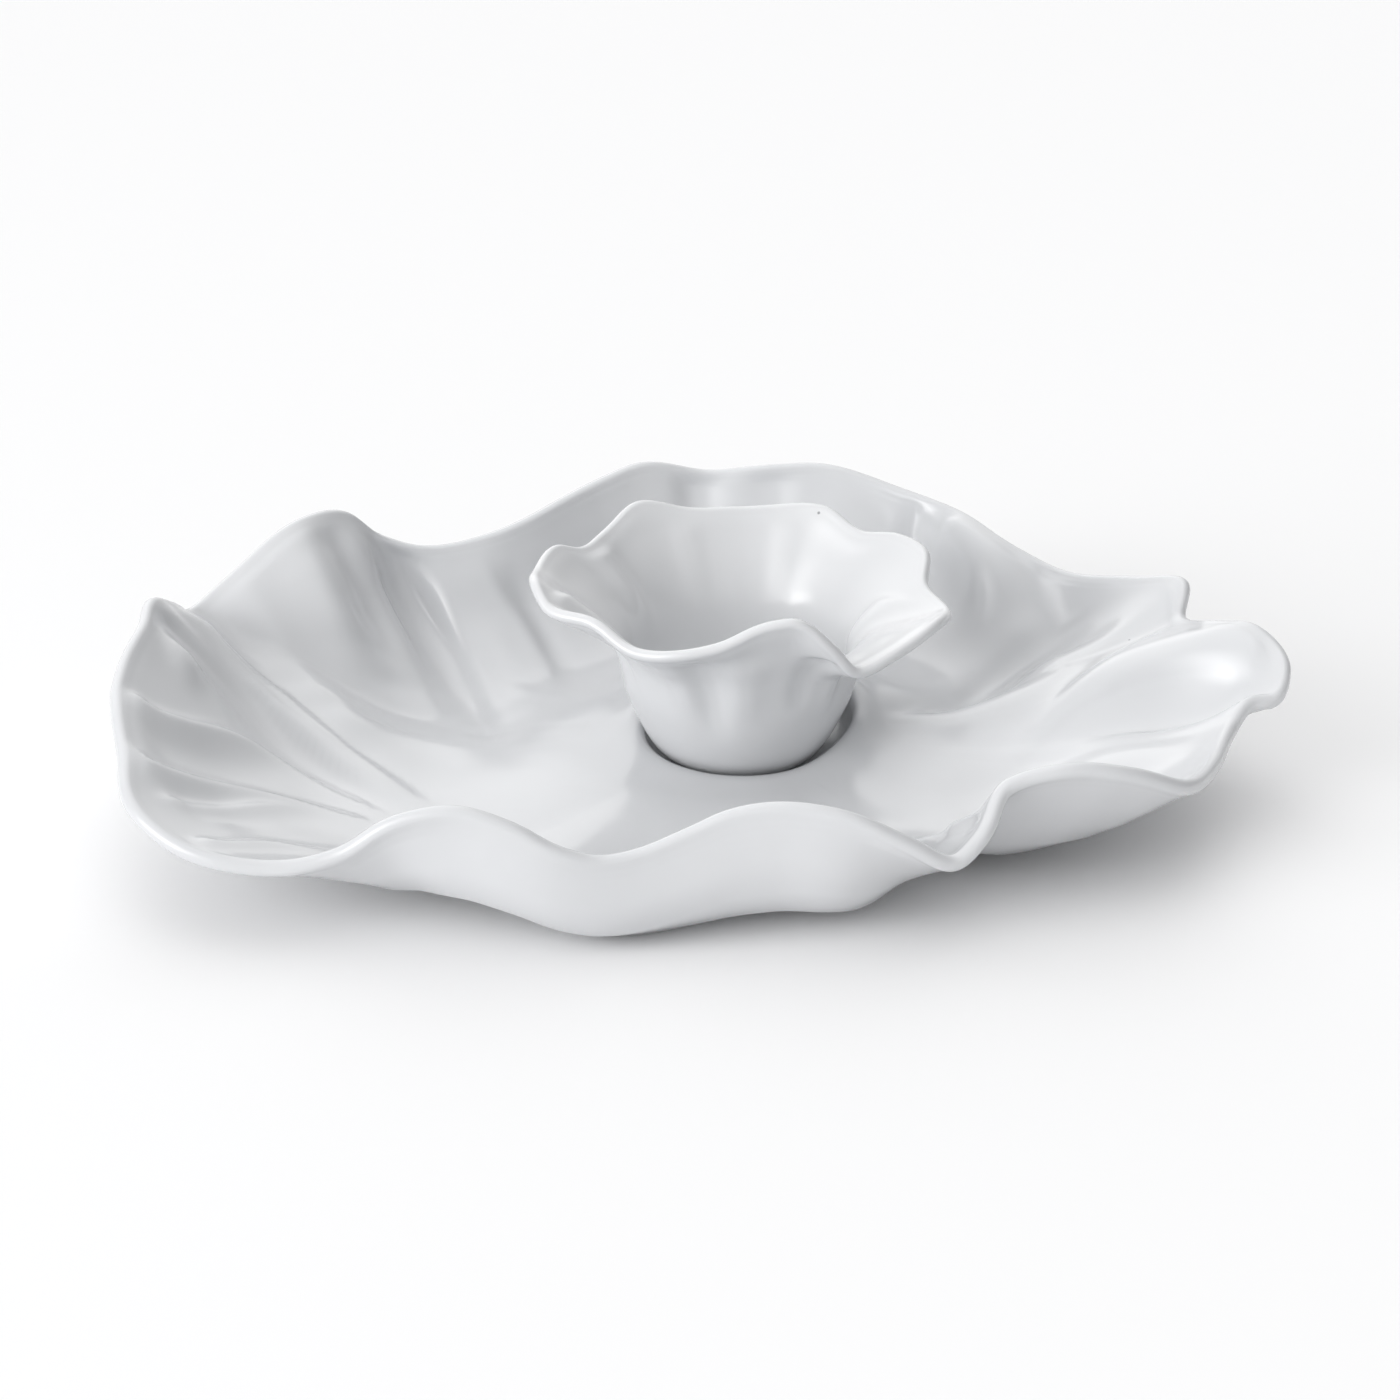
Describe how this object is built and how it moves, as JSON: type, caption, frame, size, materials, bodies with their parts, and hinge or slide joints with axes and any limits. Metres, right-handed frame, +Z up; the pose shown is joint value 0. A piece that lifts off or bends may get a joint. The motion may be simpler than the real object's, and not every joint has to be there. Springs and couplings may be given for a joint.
{
  "type": "chip and dip server",
  "caption": "Wide ruffled petal-shaped platter for chips, with a lift-out ruffled dip bowl that stands in a round well moulded into its floor.",
  "frame": {"origin": "on the table, at the centre of the well's flat underside, on the centre line of the well and the dip bowl", "axes": "+Z up along the way the bowl lifts out; +X along the platter's length, to the right seen from the front; +Y to the back"},
  "size_m": [0.432, 0.3159, 0.0889],
  "materials": {
    "platter_melamine": "polished moulded melamine, cool white",
    "bowl_melamine": "polished moulded melamine, cool white"
  },
  "bodies": {
    "platter": {"platter": "platter_melamine"},
    "dip_bowl": {"dip_bowl": "bowl_melamine"}
  },
  "joints": [
    {"name": "bowl_lift", "type": "slide", "parent": "platter", "child": "dip_bowl", "axis": [0, 0, 1], "range_m": [0, 0.1]}
  ]
}
